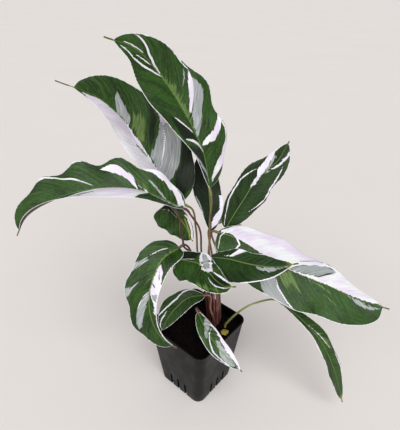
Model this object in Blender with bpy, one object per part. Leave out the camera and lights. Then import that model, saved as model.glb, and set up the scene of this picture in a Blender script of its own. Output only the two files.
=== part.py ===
"""A variegated house plant in a square nursery pot.

Metres, +Z up. The origin is the middle of the pot's base, on the surface the pot stands on, and
the pot's sides run along X and Y. Leaves and stalks are laid out in the plant's own frame, seen
from its show side: x to the right, y to the back, z up. That frame is turned about the pot's axis.
"""
import math

import bmesh
import bpy
from mathutils import Matrix, Vector

MM = 0.001

# Pot: a thin-walled square nursery pot with upright drain slots at its foot
POT_HEIGHT = 100 * MM
POT_RIM_SIDE = 90 * MM
POT_BASE_SIDE = 69 * MM
POT_CORNER = 10.5 * MM
POT_WALL = 1.4 * MM
POT_FLOOR = 2 * MM
FOOT_ROUND = 1 * MM
RIM_ROUND = 0.3 * MM
BEAD = 0.6 * MM
BEAD_HEIGHT = 2.5 * MM
CORNER_STEPS = 6
SLOT_WIDTH = 3 * MM
SLOT_HEIGHT = 22 * MM
SLOT_REACH = 8 * MM
SLOT_PITCH = 12 * MM

# Soil
CLEARANCE = 0.3 * MM
SOIL_TOP = 88 * MM
SOIL_RELIEF = 1.5 * MM
SOIL_RINGS = 8

# Plant
PLANT_TURN = math.radians(-49.5)
CROWN = Vector((22.5, 9, 0)) * MM
ROOT_DEPTH = 12 * MM
ROOT_PITCH = 4.4 * MM
COLLAR = 3 * MM
BUNDLE_TOP = Vector((18.5, 7, 150)) * MM
BUNDLE_SPREAD = 1.25
ROOT_RADIUS = 1.5 * MM
SHEATH_RADIUS = 1.7 * MM
SHEATH_TOP = 45 * MM
STALK_RADIUS = 1.1 * MM
PULVINUS_RADIUS = 1.5 * MM
PULVINUS_LENGTH = 12 * MM
NECK_REACH = 5 * MM
STALK_STATIONS = 16
BLADE_THICKNESS = 0.8 * MM
BLADE_CELLS = (26, 6)
SHEATH_CELLS = (8, 4)
NECK_HALF_WIDTH = 1.4 * MM
DRIP_HALF_WIDTH = 0.7 * MM
SCALLOP = 0.024

# Each leaf, in millimetres in the plant's frame, with left before right, seen with the tip ahead:
# rib: points of the midrib from the blade's base to the end of its drip tip
# face: where the upper face looks, at even steps along the rib
# wide: each half's greatest width; belly: how far along it is widest; full: how square its ends are
# drip: share of the rib past the blade
# fold: degrees that each half rises from flat; arch: how far its margin turns down, as a share of its width
# waves: for each margin, the height of its waves, how many there are, and where they start, in turns
# root: place in the crown, in steps of its pitch; stalk: points it passes on its way up
LEAVES = {
    "top": dict(
        rib=((11, 6, 284), (3, 12, 322), (-10, 18, 349), (-39, 22, 393), (-56, 14, 413), (-80, 2, 424)),
        face=((0.75, -0.6, 0.25), (0.7, -0.65, 0.3), (0.55, -0.75, 0.4), (0.2, -0.85, 0.5),
              (-0.1, -0.8, 0.5)),
        wide=(32, 33), belly=(0.58, 0.42), full=(0.3, 0.3), drip=0.05, fold=(24, 22), arch=(0.1, 0.1),
        waves=((2, 3, 0.6), (2.5, 4, 0.2)),
        root=(0, 0), bundled=True, stalk=((13, 5, 198), (12, 6, 239)),
    ),
    "upperLeft": dict(
        rib=((-17, 16, 261), (-31, 24, 273), (-49, 34, 295), (-68, 42, 320), (-81, 46, 343),
             (-99, 44, 361), (-137, 30, 382)),
        face=((0.2, -0.9, 0.4), (0.1, -0.9, 0.4), (0, -0.8, 0.6)),
        wide=(21, 46), belly=(0.57, 0.37), full=(0.3, 0.42), drip=0.1, fold=(48, 20), arch=(0.1, 0.1),
        waves=((1.5, 3, 0.3), (2, 4, 0.1)),
        root=(-2, 1), bundled=True, stalk=((0, 12, 191), (-3, 14, 230), (-9, 15, 255)),
    ),
    "left": dict(
        rib=((-16, 6, 259), (-35, 2, 272), (-62, -4, 286), (-101, -10, 289), (-140, -16, 280),
             (-173, -20, 259), (-184, -22, 240)),
        face=((-0.3, -0.5, 0.8), (0, -0.3, 1), (-0.3, -0.3, 0.9)),
        wide=(31, 29), belly=(0.5, 0.5), full=(0.1, 0.55), drip=0.04, fold=(36, 30), arch=(0.05, 0.05),
        waves=((5, 1.5, 0.18), (3, 5.5, 0.24)),
        root=(-1, 0), bundled=True, stalk=((4, 7, 200), (0, 6, 237), (-9, 6, 252)),
    ),
    "upright": dict(
        rib=((13, 14, 226), (12.5, 27, 252), (8, 43, 280), (1, 55, 307)),
        face=((0.1, -1, 0.2), (0.1, -1, 0.3)),
        wide=(19, 15), belly=(0.61, 0.4), full=(0.3, 0.3), drip=0.06, fold=(20, 20), arch=(0.1, 0.1),
        waves=((1.5, 3, 0), (1.5, 3, 0.4)),
        root=(-1, 1), bundled=True, stalk=((12, 12, 199),),
    ),
    "smallLeft": dict(
        rib=((-33, 10, 263), (-25, 10, 251), (-14, 8, 235), (-6, 3, 219)),
        face=((0.1, -0.9, 0.3), (0.1, -0.9, 0.3)),
        wide=(9, 23), belly=(0.4, 0.2), full=(0.5, 0.6), drip=0.05, fold=(10, 10), arch=(0.1, 0.1),
        waves=((1, 3, 0), (1.5, 3, 0.4)),
        root=(-2, 0), bundled=True,
        stalk=((-1, 4, 198), (-16, 3, 212), (-16.5, -0.5, 222), (-19, -5, 240), (-19.5, -5, 253), (-23, -3, 261)),
    ),
    "upperRight": dict(
        rib=((31, 20, 226), (39, 22, 242), (48, 24, 259), (62, 28, 284), (83, 32, 305), (93, 38, 323)),
        face=((-0.3, -0.9, 0.4), (-0.2, -0.9, 0.5), (0, -0.8, 0.6)),
        wide=(18, 21), belly=(0.42, 0.5), full=(0.4, 0.3), drip=0.03, fold=(15, 15), arch=(0.1, 0.1),
        waves=((1.5, 3, 0.5), (2, 3, 0.9)),
        root=(1, 1), bundled=True, stalk=((27, 20, 195),),
    ),
    "right": dict(
        rib=((21.5, 5, 230), (40, -3, 229), (68, -14, 217), (93, -22, 205), (132, -34, 194), (168, -42, 180),
             (202, -48, 172)),
        face=((0.1, -0.5, 0.9), (0.2, -0.5, 0.9), (0.3, -0.5, 0.8)),
        wide=(31, 36), belly=(0.42, 0.47), full=(0.25, 0.7), drip=0.04, fold=(-4, -12), arch=(0.1, 0.1),
        waves=((2, 3, 0.2), (2.5, 4, 0.1)),
        root=(1, 0), bundled=True, stalk=((22, 7, 200),),
    ),
    "frontRight": dict(
        rib=((13, -12, 209), (31, -30, 221), (50, -44, 226), (73, -56, 232), (92, -66, 245)),
        face=((0, -0.6, 0.9), (0.1, -0.6, 0.9)),
        wide=(13, 26), belly=(0.5, 0.28), full=(0.3, 0.1), drip=0.06, fold=(12, 5), arch=(0.1, 0.1),
        waves=((1.5, 3, 0.2), (2, 3, 0.6)),
        root=(1, -1), bundled=True, stalk=((10, -6, 190),),
    ),
    "front": dict(
        rib=((-24, -7, 202), (-12, -11, 203), (2, -22, 207), (11, -38, 210), (19, -53, 211), (27, -64, 214), (36, -72, 221)),
        face=((-0.3, -0.4, 0.9), (-0.1, -0.5, 0.9)),
        wide=(13, 26), belly=(0.35, 0.24), full=(0.5, 0.45), drip=0.06, fold=(17, 12), arch=(0.1, 0.1),
        waves=((1.5, 3, 0.2), (2, 3, 0.6)),
        root=(0, -1), bundled=True, stalk=((-2, -1, 175),),
    ),
    "lowerLeft": dict(
        rib=((-20, -9, 219), (-37, -24, 214), (-49, -42, 189), (-49, -50, 157), (-36, -52, 124),
             (-22, -53, 112)),
        face=((0, -0.5, 0.8), (-0.2, -0.8, 0.5), (-0.1, -1, 0.2)),
        wide=(14, 26), belly=(0.15, 0.38), full=(0.1, 0.4), drip=0.05, fold=(15, 15), arch=(0.1, 0.1),
        waves=((1.5, 3, 0.2), (2, 4, 0.6)),
        root=(-1, -1), bundled=True, stalk=((0, 3, 180), (-5, 1, 199)),
    ),
    "lowLeft": dict(
        rib=((8, -6, 148), (-9, -12, 150), (-28, -18, 134), (-43, -24, 106)),
        face=((0, -0.5, 0.8), (-0.3, -0.8, 0.5)),
        wide=(12, 16), belly=(0.45, 0.58), full=(0.3, 0.3), drip=0.05, fold=(15, 15), arch=(0.1, 0.1),
        waves=((1, 3, 0.2), (1, 3, 0.6)),
        root=(1, -2), bundled=False, stalk=((16, -4, 125),),
    ),
    "lowFront": dict(
        rib=((1, -10, 124), (8, -24, 118), (22, -44, 108), (52, -62, 85)),
        face=((0, -0.5, 0.9), (0, -0.8, 0.6)),
        wide=(11, 11.5), belly=(0.5, 0.45), full=(0.3, 0.3), drip=0.05, fold=(15, 15), arch=(0.1, 0.1),
        waves=((1, 3, 0.2), (1, 3, 0.6)),
        root=(0, -2), bundled=False, stalk=((7, -1, 110),),
    ),
    "droopingRight": dict(
        rib=((98, -18, 148), (118, -26, 134), (145, -34, 105), (167, -44, 63), (183, -52, 16)),
        face=((0.1, -0.5, 0.9), (0.5, -0.6, 0.6), (0.6, -0.8, 0.2)),
        wide=(12, 12.5), belly=(0.5, 0.68), full=(0.3, 0.35), drip=0.04, fold=(15, 15), arch=(0.1, 0.1),
        waves=((1, 3, 0.2), (1.5, 4, 0.1)),
        root=(4, -2), bundled=False, stalk=((39, -2, 102), (50, -6, 122), (68, -10, 141)),
    ),
    "back": dict(
        rib=((18, 30, 224), (27, 38, 225), (45, 44, 216), (63, 48, 204)),
        face=((0, 0.3, 1), (0.3, 0.3, 0.9)),
        wide=(13, 13), belly=(0.45, 0.45), full=(0.3, 0.3), drip=0.08, fold=(15, 15), arch=(0.1, 0.1),
        waves=((1, 3, 0.2), (1, 3, 0.6)),
        root=(0, 2), bundled=True, stalk=((16, 22, 190),),
    ),
}

# The dry scale that clasps the foot of the drooping leaf's stalk, read as a leaf with no stalk
DRY_SHEATH = dict(
    rib=((33.4, -3.8, 90.3), (34.2, -8.4, 92.4), (36.6, -13.9, 90.6)),
    face=((0, -0.4, 0.9), (0.2, -0.8, 0.5)),
    wide=(5.5, 5.5), belly=(0.5, 0.5), full=(0.4, 0.4), drip=0.02, fold=(-25, -25), arch=(0, 0),
    waves=((0, 1, 0), (0, 1, 0)),
)

# Colour, roughness
FINISHES = {
    "leaf": ((0.055, 0.16, 0.045), 0.45),
    "stalk": ((0.11, 0.05, 0.04), 0.55),
    "dry_sheath": ((0.52, 0.4, 0.06), 0.6),
    "soil": ((0.012, 0.008, 0.006), 0.95),
    "pot": ((0.025, 0.024, 0.025), 0.4),
}


def finish(kind):
    """The material of one kind of sub-part."""
    material = bpy.data.materials.get(kind) or bpy.data.materials.new(kind)
    colour, roughness = FINISHES[kind]
    material.use_nodes = True
    shader = material.node_tree.nodes["Principled BSDF"]
    shader.inputs["Base Color"].default_value = (*colour, 1)
    shader.inputs["Roughness"].default_value = roughness
    shader.inputs["Metallic"].default_value = 0
    return material


def addObject(name, data, kind):
    obj = bpy.data.objects.new(name, data)
    data.materials.append(finish(kind))
    bpy.context.scene.collection.objects.link(obj)
    return obj


def addMesh(name, bm, kind):
    bmesh.ops.recalc_face_normals(bm, faces=bm.faces)
    mesh = bpy.data.meshes.new(name)
    bm.to_mesh(mesh)
    bm.free()
    mesh.shade_smooth()
    mesh.set_sharp_from_angle(angle=math.radians(40))
    return addObject(name, mesh, kind)


def smoothPath(points):
    """Close points of a smooth curve through the given ones, however unevenly these are spaced."""
    gaps = [(b - a).length for a, b in zip(points, points[1:])]
    slopes = [(b - a) / gap for a, b, gap in zip(points, points[1:], gaps)]
    turns = [(m * after + n * before) / (before + after)
             for m, n, before, after in zip(slopes, slopes[1:], gaps, gaps[1:])]
    turns = [slopes[0], *turns, slopes[-1]]
    dense = []
    for i, gap in enumerate(gaps):
        for step in range(20):
            t = step / 20
            hold = 3 * t ** 2 - 2 * t ** 3
            leave = (t ** 3 - 2 * t ** 2 + t) * gap
            arrive = (t ** 3 - t ** 2) * gap
            place = points[i].lerp(points[i + 1], hold)
            dense.append(place + turns[i] * leave + turns[i + 1] * arrive)
    return dense + [points[-1].copy()]


def alongPath(dense, shares):
    """Place and direction at each share of the curve's length."""
    lengths = [0]
    for a, b in zip(dense, dense[1:]):
        lengths.append(lengths[-1] + (b - a).length)
    found = []
    for share in shares:
        want = share * lengths[-1]
        i = min(max(sum(length < want for length in lengths), 1), len(dense) - 1)
        step = (want - lengths[i - 1]) / (lengths[i] - lengths[i - 1])
        before = dense[max(i - 3, 0)]
        after = dense[min(i + 2, len(dense) - 1)]
        found.append((dense[i - 1].lerp(dense[i], step), (after - before).normalized()))
    return found


def vectors(rows, scale=1):
    return [Vector(row) * scale for row in rows]


def faceAt(leaf, share):
    """Where the upper face looks, this far along the rib."""
    looks = vectors(leaf["face"])
    place = share * (len(looks) - 1)
    i = min(int(place), len(looks) - 2)
    return looks[i].lerp(looks[i + 1], place - i)


def halfWidth(leaf, share, side):
    """Width of one half of the blade, this far along the rib: rounded base, long point, drip tip."""
    blade = 1 - leaf["drip"]
    along = min(share / blade, 1)
    skew = math.log(0.5) / math.log(leaf["belly"][side])
    belly = max(math.sin(math.pi * along ** skew), 0) ** (1 - leaf["full"][side])
    neck = NECK_HALF_WIDTH + (DRIP_HALF_WIDTH - NECK_HALF_WIDTH) * share
    return neck + (leaf["wide"][side] * MM - neck) * belly


def bladePoint(leaf, share, across, place, ahead):
    """A point of the blade's middle surface; across runs from -1 at the left margin to 1 at the right."""
    side = 0 if across < 0 else 1
    right = ahead.cross(faceAt(leaf, share)).normalized()
    up = right.cross(ahead)
    width = halfWidth(leaf, share, side)
    fold = math.radians(leaf["fold"][side])
    height, count, start = leaf["waves"][side]
    swell = math.sin(math.pi * min(share / (1 - leaf["drip"]), 1))
    ripple = swell * math.sin(2 * math.pi * (count * share + start))
    width *= 1 + SCALLOP * height * ripple
    out = width * across * math.cos(fold)
    rise = width * abs(across) * math.sin(fold) - leaf["arch"][side] * width * across ** 2
    rise += height * MM * ripple * across ** 2
    return place + right * out + up * rise


def makeBlade(name, leaf, kind, cells):
    """One thin blade, split into triangles alike on both faces."""
    along, across = cells
    bm = bmesh.new()
    bmesh.ops.create_grid(bm, x_segments=along, y_segments=across, size=1)
    bmesh.ops.triangulate(bm, faces=bm.faces)
    stations = sorted({round(v.co.x, 5) for v in bm.verts})
    shares = [0.6 * (x + 1) / 2 + 0.4 * (1 + math.sin(x * math.pi / 2)) / 2 for x in stations]
    rib = alongPath(smoothPath(vectors(leaf["rib"], MM)), shares)
    for vert in bm.verts:
        i = stations.index(round(vert.co.x, 5))
        place, ahead = rib[i]
        vert.co = bladePoint(leaf, shares[i], -vert.co.y, place, ahead)
    blade = addMesh(name, bm, kind)
    thicken = blade.modifiers.new("thickness", "SOLIDIFY")
    thicken.thickness = BLADE_THICKNESS
    thicken.offset = 0
    return blade


def crownStep(leaf):
    """From the crown's middle to the leaf's own place in it."""
    across, back = leaf["root"]
    return Vector((across + back / 2, back * math.sqrt(0.75), 0)) * ROOT_PITCH


def stalkRadius(share, length):
    """A sheathed foot, a slim shaft and the thicker joint under the blade."""
    foot = ROOT_DEPTH
    along = share * length
    if along < foot:
        return ROOT_RADIUS
    if along > length - PULVINUS_LENGTH:
        swell = math.sin(math.pi * (length - along) / PULVINUS_LENGTH) ** 0.5
        return STALK_RADIUS + (PULVINUS_RADIUS - STALK_RADIUS) * max(swell, 0.4)
    fade = min((along - foot) / SHEATH_TOP, 1)
    return SHEATH_RADIUS + (STALK_RADIUS - SHEATH_RADIUS) * fade


def stalkPath(leaf):
    root = CROWN + crownStep(leaf)
    bundle = [BUNDLE_TOP + crownStep(leaf) * BUNDLE_SPREAD] if leaf["bundled"] else []
    rib = alongPath(smoothPath(vectors(leaf["rib"], MM)), (0,))
    base, ahead = rib[0]
    foot = root + Vector((0, 0, SOIL_TOP - ROOT_DEPTH + CLEARANCE))
    grip = root + Vector((0, 0, SOIL_TOP - COLLAR))
    collar = root + Vector((0, 0, SOIL_TOP + COLLAR))
    neck = base - ahead * NECK_REACH
    top = base - ahead * CLEARANCE
    return smoothPath([foot, grip, collar, *bundle, *vectors(leaf["stalk"], MM), neck, top])


def makeStalk(name, leaf):
    dense = stalkPath(leaf)
    length = sum((b - a).length for a, b in zip(dense, dense[1:]))
    shares = [i / STALK_STATIONS for i in range(STALK_STATIONS)] + [1 - 0.4 * PULVINUS_LENGTH / length, 1]
    curve = bpy.data.curves.new(name + "_stalk", "CURVE")
    curve.dimensions = "3D"
    curve.bevel_depth = MM
    curve.bevel_resolution = 1
    curve.use_fill_caps = True
    spline = curve.splines.new("POLY")
    spline.points.add(len(shares) - 1)
    for point, share, (place, ahead) in zip(spline.points, shares, alongPath(dense, shares)):
        point.co = (*place, 1)
        point.radius = stalkRadius(share, length) / MM
    return addObject(name + "_stalk", curve, "stalk")


def squareRing(bm, side, corner, height):
    """A closed loop of points: a square with rounded corners."""
    ring = []
    for quarter in range(4):
        middle = side / 2 - corner
        for step in range(CORNER_STEPS + 1):
            turn = math.pi / 2 * (quarter + step / CORNER_STEPS)
            x = corner * math.cos(turn) + middle * (1 if quarter in (0, 3) else -1)
            y = corner * math.sin(turn) + middle * (1 if quarter < 2 else -1)
            ring.append(bm.verts.new((x, y, height)))
    return ring


def loft(bm, rings):
    """Joins rings of points in turn and closes both ends."""
    for low, high in zip(rings, rings[1:]):
        for i in range(len(low)):
            j = (i + 1) % len(low)
            bm.faces.new((low[i], low[j], high[j], high[i]))
    bm.faces.new(rings[0])
    bm.faces.new(rings[-1])


def potSide(height):
    """Outer width of the tapered pot at this height."""
    return POT_BASE_SIDE + (POT_RIM_SIDE - 2 * BEAD - POT_BASE_SIDE) * height / POT_HEIGHT


def cut(obj, cutter):
    cutter.hide_render = True
    cutter.display_type = "WIRE"
    boolean = obj.modifiers.new("cut", "BOOLEAN")
    boolean.operation = "DIFFERENCE"
    boolean.object = cutter


def makePot():
    bm = bmesh.new()
    bead = POT_HEIGHT - BEAD_HEIGHT
    inner = POT_WALL * 2
    rings = [
        squareRing(bm, POT_BASE_SIDE - 2 * FOOT_ROUND, POT_CORNER - FOOT_ROUND, 0),
        squareRing(bm, POT_BASE_SIDE, POT_CORNER, FOOT_ROUND),
        squareRing(bm, potSide(bead), POT_CORNER, bead),
        squareRing(bm, potSide(bead) + 2 * BEAD, POT_CORNER + BEAD, bead + BEAD),
        squareRing(bm, POT_RIM_SIDE, POT_CORNER + BEAD, POT_HEIGHT - RIM_ROUND),
        squareRing(bm, POT_RIM_SIDE - 2 * RIM_ROUND, POT_CORNER + BEAD - RIM_ROUND, POT_HEIGHT),
        squareRing(bm, potSide(POT_HEIGHT) - inner, POT_CORNER - POT_WALL, POT_HEIGHT),
        squareRing(bm, potSide(POT_FLOOR) - inner, POT_CORNER - POT_WALL, POT_FLOOR),
    ]
    loft(bm, rings)
    pot = addMesh("pot", bm, "pot")
    slots = bmesh.new()
    for turn in range(4):
        for step in (-1, 0, 1):
            place = Matrix.Translation((POT_BASE_SIDE / 2, step * SLOT_PITCH, 0))
            size = Matrix.Diagonal((2 * SLOT_REACH, SLOT_WIDTH, 2 * SLOT_HEIGHT, 1))
            spin = Matrix.Rotation(turn * math.pi / 2, 4, "Z")
            bmesh.ops.create_cube(slots, size=1, matrix=spin @ place @ size)
    cut(pot, addMesh("slot_cutter", slots, "pot"))
    return pot


def soilHeight(x, y):
    """The height of the crumbly top."""
    coarse = math.sin(310 * x + 1) * math.cos(270 * y + 2) + math.sin(190 * (x + y))
    fine = math.sin(830 * x - 400 * y) * math.cos(760 * y + 350 * x + 1)
    return SOIL_TOP + SOIL_RELIEF * (0.3 * coarse + 0.4 * fine)


def makeSoil():
    """One body that fills the pot, its top raised and sunk ring by ring."""
    bm = bmesh.new()
    gap = 2 * (POT_WALL + CLEARANCE)
    corner = POT_CORNER - POT_WALL - CLEARANCE
    low = POT_FLOOR + CLEARANCE
    high = SOIL_TOP - 2 * SOIL_RELIEF
    rings = [squareRing(bm, potSide(z) - gap, corner, z) for z in (low, high)]
    for ring in range(SOIL_RINGS):
        share = 1 - ring / SOIL_RINGS
        loop = squareRing(bm, (potSide(high) - gap) * share, corner * share, SOIL_TOP)
        for vert in loop:
            vert.co.z = soilHeight(vert.co.x, vert.co.y)
        rings.append(loop)
    loft(bm, rings)
    return addMesh("soil", bm, "soil")


def makeHoles():
    """Plain round holes for the stalks, in the plant's frame."""
    bm = bmesh.new()
    for leaf in LEAVES.values():
        place = Matrix.Translation(CROWN + crownStep(leaf) + Vector((0, 0, SOIL_TOP)))
        bmesh.ops.create_cone(
            bm, cap_ends=True, segments=10, radius1=ROOT_RADIUS + CLEARANCE, radius2=ROOT_RADIUS + CLEARANCE,
            depth=2 * ROOT_DEPTH, matrix=place,
        )
    return addMesh("hole_cutter", bm, "soil")


def main():
    for obj in list(bpy.data.objects):
        bpy.data.objects.remove(obj)
    plant = bpy.data.objects.new("plant", None)
    bpy.context.scene.collection.objects.link(plant)
    plant.rotation_euler.z = PLANT_TURN
    makePot()
    soil = makeSoil()
    holes = makeHoles()
    holes.parent = plant
    cut(soil, holes)
    for name, leaf in LEAVES.items():
        makeBlade(name + "_blade", leaf, "leaf", BLADE_CELLS).parent = plant
        makeStalk(name, leaf).parent = plant
    makeBlade("dry_sheath", DRY_SHEATH, "dry_sheath", SHEATH_CELLS).parent = plant


main()
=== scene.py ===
import math
import random

import bmesh
import bpy
import numpy
from mathutils import Matrix, Vector, noise


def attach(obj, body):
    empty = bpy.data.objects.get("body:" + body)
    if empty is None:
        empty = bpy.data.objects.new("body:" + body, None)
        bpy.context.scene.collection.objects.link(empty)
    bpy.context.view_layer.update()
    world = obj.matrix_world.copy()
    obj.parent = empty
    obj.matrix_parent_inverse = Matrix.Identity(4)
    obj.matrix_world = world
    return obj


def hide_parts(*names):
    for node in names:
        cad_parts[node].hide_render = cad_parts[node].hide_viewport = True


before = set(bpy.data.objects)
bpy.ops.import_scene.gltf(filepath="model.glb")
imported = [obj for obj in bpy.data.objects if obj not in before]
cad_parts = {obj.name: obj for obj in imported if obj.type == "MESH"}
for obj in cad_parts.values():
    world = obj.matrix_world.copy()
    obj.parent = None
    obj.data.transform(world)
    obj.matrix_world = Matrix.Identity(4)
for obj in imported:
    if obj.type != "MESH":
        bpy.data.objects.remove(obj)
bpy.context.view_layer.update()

mm = 0.001
plantTurn = math.radians(-49.5)  # leaves are laid out as the camera sees them, then turned about the pot


# Mesh and object helpers

def meshOf(name, bm):
    mesh = bpy.data.meshes.new(name)
    bm.to_mesh(mesh)
    bm.free()
    return mesh


def addObject(name, data):
    made = bpy.data.objects.new(name, data)
    bpy.context.scene.collection.objects.link(made)
    return made


def only(geometry, kind):
    # The items of one kind among what an operator made.
    return [item for item in geometry if isinstance(item, kind)]


# Materials: short names for the nodes that each is built from

def srgb(red, green, blue):
    # Linear colour of a picture colour given in 0 to 255.
    return tuple((c / 255) ** 2.2 for c in (red, green, blue)) + (1,)


def scaled(colour, factor, limit=1):
    return tuple(min(c * factor, limit) for c in colour[:3]) + (1,)


class Finish:
    def __init__(self, name):
        self.material = bpy.data.materials.new(name)
        self.material.use_nodes = True
        self.tree = self.material.node_tree
        self.shader = self.tree.nodes["Principled BSDF"]

    def feed(self, socket, value):
        if isinstance(value, bpy.types.NodeSocket):
            self.tree.links.new(value, socket)
        else:
            socket.default_value = value

    def node(self, kind, *values, **settings):
        # The outputs of a node with these settings and these first inputs.
        made = self.tree.nodes.new("ShaderNode" + kind)
        for key, value in settings.items():
            setattr(made, key, value)
        for socket, value in zip(made.inputs, values):
            self.feed(socket, value)
        return made.outputs

    def calc(self, operation, *values):
        return self.node("Math", *values, operation=operation)[0]

    def times(self, one, other):
        return self.calc("MULTIPLY", one, other)

    def timesPlus(self, one, other, more):
        return self.calc("MULTIPLY_ADD", one, other, more)

    def step(self, value, low, high, start=0.0, end=1.0):
        # Smooth rise from start to end while the value goes from low to high.
        return self.node("MapRange", value, low, high, start, end, interpolation_type="SMOOTHSTEP")[0]

    def grain(self, where, scale, detail=2.0, rough=0.5):
        return self.node("TexNoise", where, 0.0, scale, detail, rough)[0]

    def place(self, x, y, z):
        return self.node("CombineXYZ", x, y, z)[0]

    def parts(self, vector):
        return self.node("SeparateXYZ", vector)

    def stretched(self, vector, scale):
        return self.node("Mapping", vector, (0, 0, 0), (0, 0, 0), scale)[0]

    def uvMap(self, layer):
        return self.node("UVMap", uv_map=layer)[0]

    def objectSpace(self):
        return self.node("TexCoord")["Object"]

    def painted(self, layer):
        # The four channels of a colour layer.
        attribute = self.node("Attribute", attribute_name=layer)
        return [*self.node("SeparateColor", attribute["Color"])[:3], attribute["Alpha"]]

    def layered(self, colour, *layers):
        # Lays colours over the first, each by its share.
        for share, over in layers:
            made = self.tree.nodes.new("ShaderNodeMix")
            made.data_type = "RGBA"
            for i, value in ((0, share), (6, colour), (7, over)):
                self.feed(made.inputs[i], value)
            colour = made.outputs[2]
        return colour

    def relief(self, height, strength, distance):
        bump = self.tree.nodes.new("ShaderNodeBump")
        for key, value in (("Strength", strength), ("Distance", distance), ("Height", height)):
            self.feed(bump.inputs[key], value)
        self.feed(self.shader.inputs["Normal"], bump.outputs[0])

    def finish(self, colour, roughness, specular=0.5):
        for key, value in (("Base Color", colour), ("Roughness", roughness), ("Specular IOR Level", specular)):
            self.feed(self.shader.inputs[key], value)
        return self.material


# Leaf finish: green, with marks that feather out along the side veins

# The pale green, where it forms flecks and vein streaks, is partly painted highlight.
leafLook = dict(
    # The darkest green here is partly the leaf's own dark tone and partly painted shade.
    deep=srgb(16, 39, 12), mid=srgb(45, 81, 28), pale=srgb(92, 126, 58), darkAndShade=srgb(8, 20, 11),
    splash=srgb(132, 154, 90), milk=srgb(174, 178, 180), milkDark=srgb(132, 142, 138),
    white=srgb(238, 240, 242), lilac=srgb(226, 214, 234), yellow=srgb(142, 142, 50), dusk=srgb(34, 20, 24),
    rib=srgb(112, 138, 76), brown=srgb(112, 98, 58),
    backDeep=srgb(66, 34, 42), backPale=srgb(190, 160, 168), backRib=srgb(112, 104, 64),
    feather=6.0, fineFeather=3.0,   # mm that the marks' edges wander, in broad and in fine streaks
    broad=(0.33, 0.035), fine=(1.3, 0.09), thread=(3.2, 0.12),  # streaks to a mm, across and along the veins
    cloud=(0.05, 0.06), mottle=(0.9, 0.5),                      # patches to a mm, the same way
    roughness=0.4, backRougher=0.12, specular=0.27,
)
markSpan = 10.0  # mm of depth, half of them outside the mark, that a layer's 0 to 1 stands for


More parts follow.
